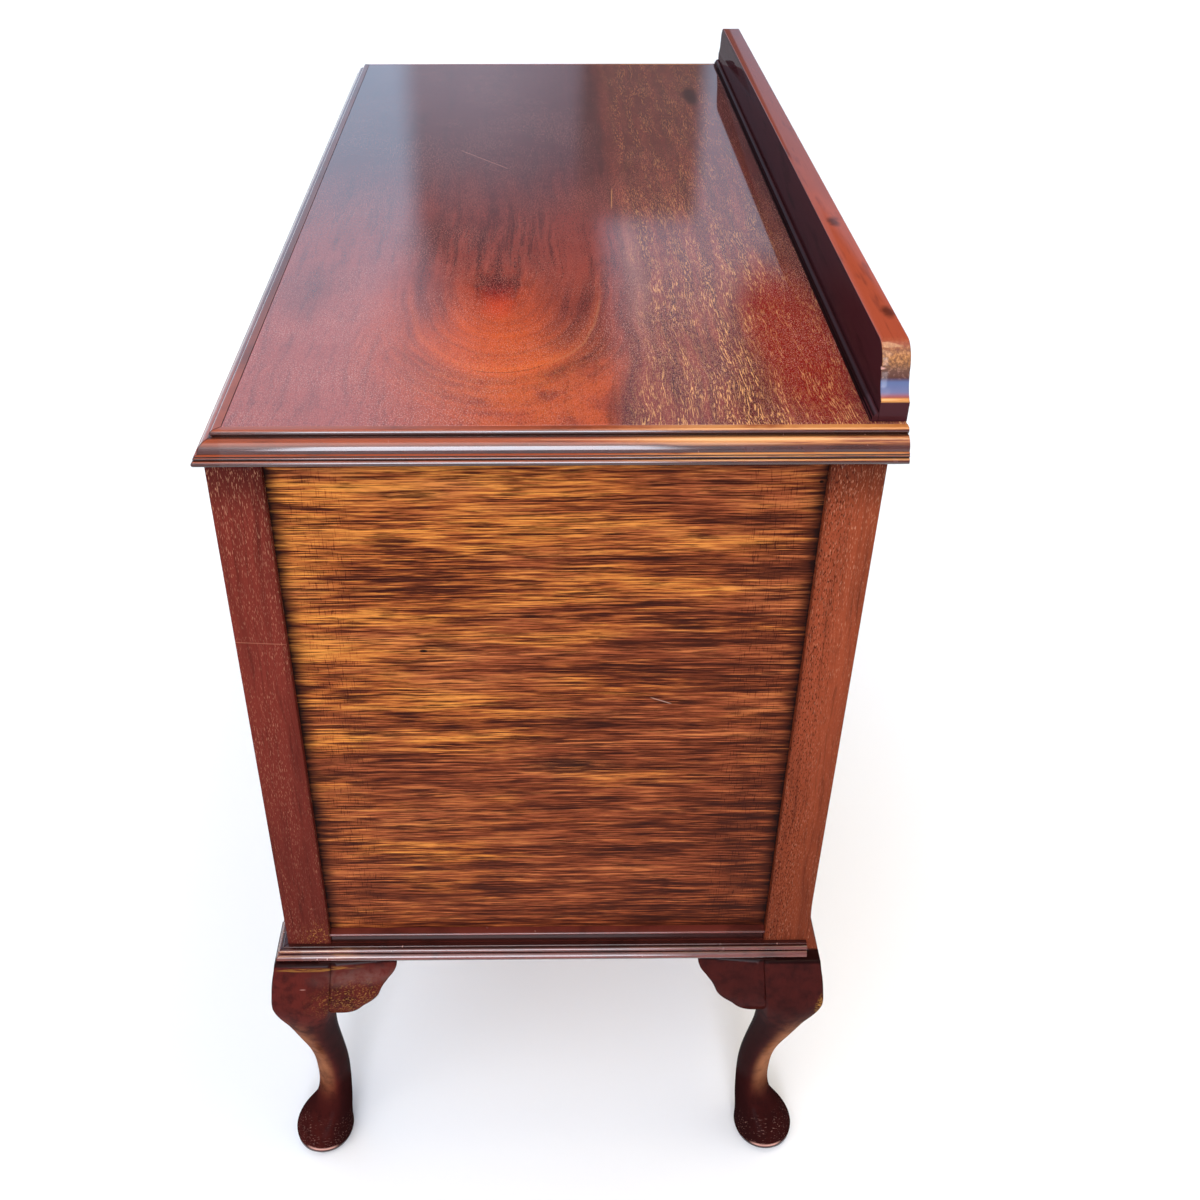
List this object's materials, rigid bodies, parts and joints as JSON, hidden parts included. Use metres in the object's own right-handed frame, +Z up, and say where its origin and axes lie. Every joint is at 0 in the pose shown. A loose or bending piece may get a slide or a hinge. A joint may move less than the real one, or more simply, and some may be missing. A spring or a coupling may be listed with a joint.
{
  "type": "sideboard",
  "caption": "Mahogany sideboard on cabriole legs, with frieze drawers over a framed two-door cupboard, a moulded top and a low gallery.",
  "frame": {"origin": "on the floor under the middle of the four legs", "axes": "+Z up; the drawers and doors face -Y; +X is to the right as seen from the front, along the length"},
  "size_m": [1.105, 0.5427, 0.9143],
  "materials": {
    "top_veneer": "figured mahogany veneer, French polished to a high gloss",
    "moulding": "mahogany moulding, polished, rubbed to gold on its beads",
    "gallery": "dark polished mahogany",
    "post": "red-brown mahogany with upright grain, polished",
    "leg": "dark stained mahogany, polished and worn at the knees",
    "panel": "orange-brown mahogany with level dark streaks, polished",
    "front": "red-brown mahogany, polished",
    "inner_wood": "plain unpolished wood",
    "brass": "aged brass, rubbed bright on its high places"
  },
  "bodies": {
    "case": {"top_board": "top_veneer", "top_moulding_front": "moulding", "top_moulding_left": "moulding", "top_moulding_right": "moulding", "gallery_board": "gallery", "gallery_bead": "gallery", "leg_post_front_left": "post", "leg_post_front_right": "post", "leg_post_back_left": "post", "leg_post_back_right": "post", "end_panel_left": "panel", "end_panel_right": "panel", "end_rail_left": "moulding", "end_rail_right": "moulding", "back_panel": "inner_wood", "bottom_board": "inner_wood", "front_top_rail": "front", "front_middle_rail": "front", "front_bottom_rail": "moulding", "drawer_divider": "front", "dust_board": "inner_wood", "base_moulding_front": "moulding", "base_moulding_left": "moulding", "base_moulding_right": "moulding", "leg_ear_front_left_end": "leg", "leg_ear_front_right_end": "leg", "leg_ear_back_left_end": "leg", "leg_ear_back_right_end": "leg", "leg_ear_front_left_front": "leg", "leg_ear_front_right_front": "leg", "hinge_left_lower_post_leaf": "brass", "hinge_left_upper_post_leaf": "brass", "hinge_right_lower_post_leaf": "brass", "hinge_right_upper_post_leaf": "brass"},
    "drawer_left": {"drawer_left_front": "front", "drawer_left_side_left": "inner_wood", "drawer_left_side_right": "inner_wood", "drawer_left_back": "inner_wood", "drawer_left_bottom": "inner_wood", "drawer_left_plate": "brass"},
    "drawer_left_bail": {"drawer_left_bail": "brass"},
    "door_left": {"door_left_frame": "front", "door_left_panel": "panel", "door_left_plate": "brass", "hinge_left_lower_door_leaf": "brass", "hinge_left_upper_door_leaf": "brass"},
    "door_left_bail": {"door_left_bail": "brass"},
    "drawer_right": {"drawer_right_front": "front", "drawer_right_side_left": "inner_wood", "drawer_right_side_right": "inner_wood", "drawer_right_back": "inner_wood", "drawer_right_bottom": "inner_wood", "drawer_right_plate": "brass"},
    "drawer_right_bail": {"drawer_right_bail": "brass"},
    "door_right": {"door_right_frame": "front", "door_right_panel": "panel", "door_right_plate": "brass", "hinge_right_lower_door_leaf": "brass", "hinge_right_upper_door_leaf": "brass"},
    "door_right_bail": {"door_right_bail": "brass"}
  },
  "joints": [
    {"name": "drawer_left_slide", "type": "slide", "parent": "case", "child": "drawer_left", "axis": [0, -1, 0], "range_m": [0, 0.3]},
    {"name": "drawer_left_bail_swing", "type": "hinge", "parent": "drawer_left", "child": "drawer_left_bail", "pos_m": [-0.24875, -0.254, 0.771], "axis": [-1, 0, 0], "range_deg": [-8, 180]},
    {"name": "door_left_swing", "type": "hinge", "parent": "case", "child": "door_left", "pos_m": [-0.487, -0.2491, 0.5182], "axis": [0, 0, -1], "range_deg": [0, 170]},
    {"name": "door_left_bail_swing", "type": "hinge", "parent": "door_left", "child": "door_left_bail", "pos_m": [-0.027, -0.254, 0.56], "axis": [-1, 0, 0], "range_deg": [-8, 180]},
    {"name": "drawer_right_slide", "type": "slide", "parent": "case", "child": "drawer_right", "axis": [0, -1, 0], "range_m": [0, 0.3]},
    {"name": "drawer_right_bail_swing", "type": "hinge", "parent": "drawer_right", "child": "drawer_right_bail", "pos_m": [0.24875, -0.254, 0.771], "axis": [-1, 0, 0], "range_deg": [-8, 180]},
    {"name": "door_right_swing", "type": "hinge", "parent": "case", "child": "door_right", "pos_m": [0.487, -0.2491, 0.5182], "axis": [0, 0, 1], "range_deg": [0, 170]},
    {"name": "door_right_bail_swing", "type": "hinge", "parent": "door_right", "child": "door_right_bail", "pos_m": [0.027, -0.254, 0.56], "axis": [-1, 0, 0], "range_deg": [-8, 180]}
  ]
}
